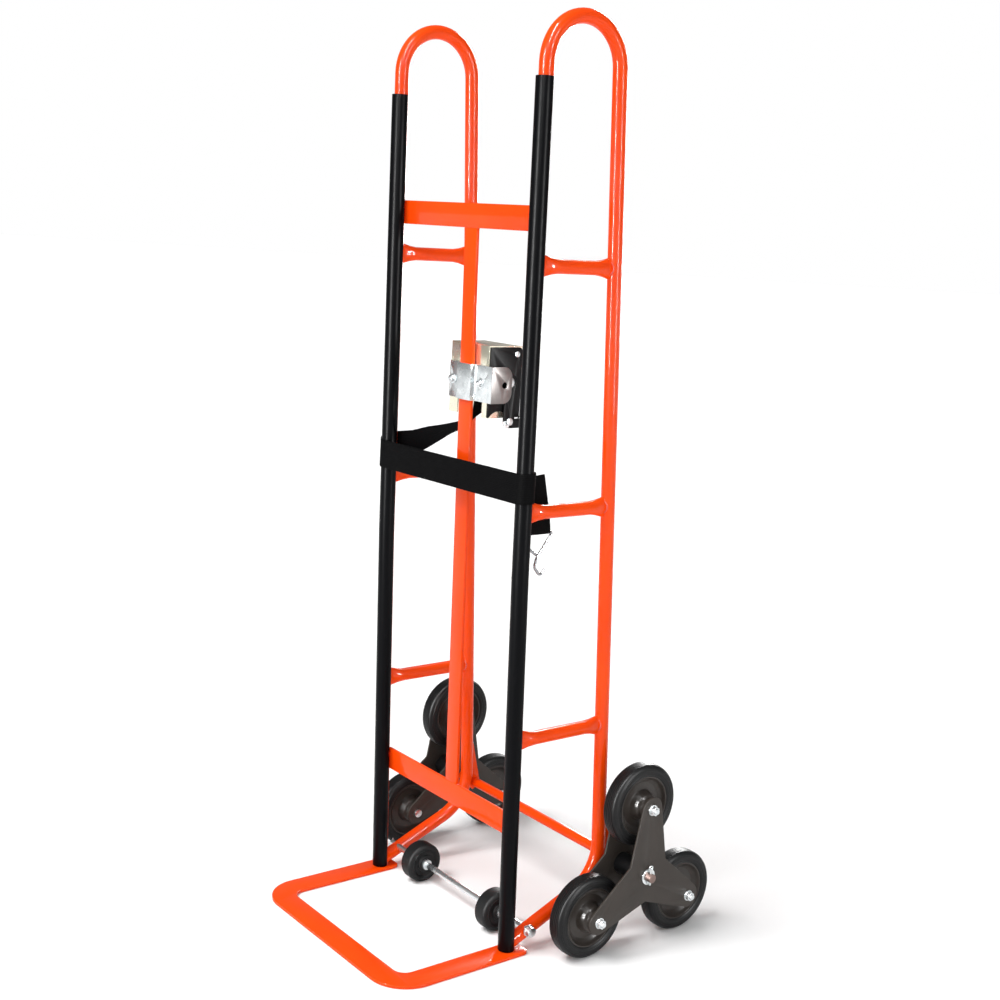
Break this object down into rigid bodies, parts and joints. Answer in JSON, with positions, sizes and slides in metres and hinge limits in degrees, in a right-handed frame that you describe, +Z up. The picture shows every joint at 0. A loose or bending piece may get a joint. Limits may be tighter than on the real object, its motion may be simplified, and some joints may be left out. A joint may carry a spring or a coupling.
{
  "type": "stair climbing trolley",
  "caption": "Upright trolley with two bent tube side frames, a flat toe loop, three-wheel stair climbing clusters and a webbing strap with a ratchet winch.",
  "frame": {"origin": "on the floor, under the middle of the whole outline, midway between the side frames", "axes": "+X across the trolley, to the side that carries the winch lever; +Y from the toe loop to the climbing wheels; +Z up"},
  "size_m": [0.667, 0.6682, 1.625],
  "materials": {
    "orange_paint": "gloss orange-red powder coat",
    "black_sleeve": "satin black extruded plastic",
    "star_paint": "matte dark brown-grey coat",
    "black_hub": "black coat",
    "rim_paint": "satin dark brown-grey coat",
    "tyre_rubber": "black rubber",
    "foot_wheel_rubber": "solid black rubber",
    "yellow_zinc": "yellow passivated zinc",
    "black_plate": "black coat",
    "black_knob": "black plastic",
    "webbing": "black woven webbing",
    "zinc": "bright zinc plate"
  },
  "bodies": {
    "frame": {"left_side_rail": "orange_paint", "right_side_rail": "orange_paint", "left_sleeve": "black_sleeve", "right_sleeve": "black_sleeve", "left_lower_brace": "orange_paint", "left_middle_brace": "orange_paint", "left_upper_brace": "orange_paint", "right_lower_brace": "orange_paint", "right_middle_brace": "orange_paint", "right_upper_brace": "orange_paint", "top_cross_bar": "orange_paint", "lower_cross_bar": "orange_paint", "centre_post": "orange_paint", "toe_loop": "orange_paint", "axle_tube": "orange_paint", "axle_brackets": "orange_paint", "cluster_axle": "zinc", "axle_washers": "zinc", "split_pins": "zinc", "foot_axle": "zinc", "foot_axle_fasteners": "zinc", "winch_housing": "yellow_zinc", "winch_side_plate": "black_plate", "winch_clamp": "zinc", "clamp_bolts_and_nuts": "zinc", "pawl_pin": "zinc", "webbing_strap": "webbing", "sewn_end": "webbing"},
    "left_cluster": {"left_inner_star": "star_paint", "left_outer_star": "star_paint", "left_star_hub": "black_hub", "left_wheel_bushes": "zinc", "left_wheel_bolts": "zinc"},
    "left_wheel_1": {"left_rim_1": "rim_paint", "left_tyre_1": "tyre_rubber"},
    "left_wheel_2": {"left_rim_2": "rim_paint", "left_tyre_2": "tyre_rubber"},
    "left_wheel_3": {"left_rim_3": "rim_paint", "left_tyre_3": "tyre_rubber"},
    "left_foot_roller": {"left_foot_wheel": "foot_wheel_rubber"},
    "right_cluster": {"right_inner_star": "star_paint", "right_outer_star": "star_paint", "right_star_hub": "black_hub", "right_wheel_bushes": "zinc", "right_wheel_bolts": "zinc"},
    "right_wheel_1": {"right_rim_1": "rim_paint", "right_tyre_1": "tyre_rubber"},
    "right_wheel_2": {"right_rim_2": "rim_paint", "right_tyre_2": "tyre_rubber"},
    "right_wheel_3": {"right_rim_3": "rim_paint", "right_tyre_3": "tyre_rubber"},
    "right_foot_roller": {"right_foot_wheel": "foot_wheel_rubber"},
    "spool": {"winch_spool": "zinc", "webbing_roll": "webbing", "ratchet_gear": "yellow_zinc"},
    "ratchet_pawl": {"pawl": "zinc"},
    "lever": {"ratchet_lever": "zinc", "lever_knob": "black_knob", "lever_screw": "zinc"},
    "hook": {"wire_hook": "zinc"}
  },
  "joints": [
    {"name": "left_cluster_spin", "type": "hinge", "parent": "frame", "child": "left_cluster", "pos_m": [-0.2835, 0.14894, 0.139], "axis": [1, 0, 0], "continuous": true},
    {"name": "left_wheel_1_spin", "type": "hinge", "parent": "left_cluster", "child": "left_wheel_1", "pos_m": [-0.2835, 0.14894, 0.265], "axis": [1, 0, 0], "continuous": true},
    {"name": "left_wheel_2_spin", "type": "hinge", "parent": "left_cluster", "child": "left_wheel_2", "pos_m": [-0.2835, 0.03982, 0.076], "axis": [1, 0, 0], "continuous": true},
    {"name": "left_wheel_3_spin", "type": "hinge", "parent": "left_cluster", "child": "left_wheel_3", "pos_m": [-0.2835, 0.25806, 0.076], "axis": [1, 0, 0], "continuous": true},
    {"name": "left_foot_roller_spin", "type": "hinge", "parent": "frame", "child": "left_foot_roller", "pos_m": [-0.1205, -0.03706, 0.038], "axis": [1, 0, 0], "continuous": true},
    {"name": "right_cluster_spin", "type": "hinge", "parent": "frame", "child": "right_cluster", "pos_m": [0.2835, 0.14894, 0.139], "axis": [1, 0, 0], "continuous": true},
    {"name": "right_wheel_1_spin", "type": "hinge", "parent": "right_cluster", "child": "right_wheel_1", "pos_m": [0.2835, 0.14894, 0.265], "axis": [1, 0, 0], "continuous": true},
    {"name": "right_wheel_2_spin", "type": "hinge", "parent": "right_cluster", "child": "right_wheel_2", "pos_m": [0.2835, 0.03982, 0.076], "axis": [1, 0, 0], "continuous": true},
    {"name": "right_wheel_3_spin", "type": "hinge", "parent": "right_cluster", "child": "right_wheel_3", "pos_m": [0.2835, 0.25806, 0.076], "axis": [1, 0, 0], "continuous": true},
    {"name": "right_foot_roller_spin", "type": "hinge", "parent": "frame", "child": "right_foot_roller", "pos_m": [0.1205, -0.03706, 0.038], "axis": [1, 0, 0], "continuous": true},
    {"name": "spool_turn", "type": "hinge", "parent": "frame", "child": "spool", "pos_m": [0.009, -0.0362, 1.004], "axis": [1, 0, 0], "continuous": true},
    {"name": "pawl_lift", "type": "hinge", "parent": "frame", "child": "ratchet_pawl", "pos_m": [0.0565, -0.0222, 1.054], "axis": [1, 0, 0], "range_deg": [0, 30], "stiffness_Nm_per_rad": 0.02, "springref_deg": -5.73},
    {"name": "lever_swing", "type": "hinge", "parent": "frame", "child": "lever", "pos_m": [0.07, -0.0362, 1.004], "axis": [1, 0, 0], "range_deg": [0, 75]},
    {"name": "hook_swing", "type": "hinge", "parent": "frame", "child": "hook", "pos_m": [0.1873, -0.04606, 0.761], "axis": [0, 1, 0], "range_deg": [0, 60]}
  ]
}
